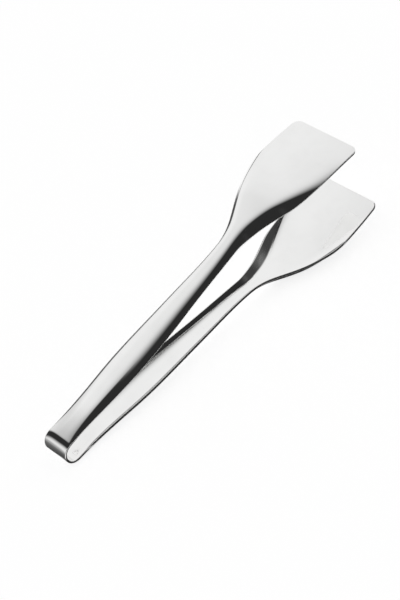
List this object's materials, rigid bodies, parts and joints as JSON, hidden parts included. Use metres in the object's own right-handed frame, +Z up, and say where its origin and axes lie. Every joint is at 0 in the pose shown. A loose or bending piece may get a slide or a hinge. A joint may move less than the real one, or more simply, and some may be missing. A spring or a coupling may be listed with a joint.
{
  "type": "serving tongs",
  "caption": "Polished steel serving tongs: flared spatula blades on slim crowned arms, joined by a half-round spring bow at the back, for lifting and holding pastries or other food.",
  "frame": {"origin": "on the table, below the middle of the tongs as they lie on the bow and the root of the lower blade", "axes": "+X from the bow towards the blade tips, +Y across the blades, +Z up from the table"},
  "size_m": [0.2112, 0.0438, 0.0548],
  "materials": {
    "polished_steel": "polished"
  },
  "bodies": {
    "bow": {"spring_bow": "polished_steel"},
    "upper_arm": {"upper_arm": "polished_steel"},
    "lower_arm": {"lower_arm": "polished_steel"}
  },
  "joints": [
    {"name": "upper_flex", "type": "hinge", "parent": "bow", "child": "upper_arm", "pos_m": [-0.1033, 0, 0.01038], "axis": [0, 1, 0], "range_deg": [0, 5.65], "stiffness_Nm_per_rad": 10, "deforming": ["spring_bow"]},
    {"name": "lower_flex", "type": "hinge", "parent": "bow", "child": "lower_arm", "pos_m": [-0.10229, 0, 0.00253], "axis": [0, 1, 0], "range_deg": [-5.65, 0], "stiffness_Nm_per_rad": 10, "deforming": ["spring_bow"]}
  ],
  "couplings": [
    {"joint": "lower_flex", "follows": "upper_flex", "ratio": -1}
  ]
}
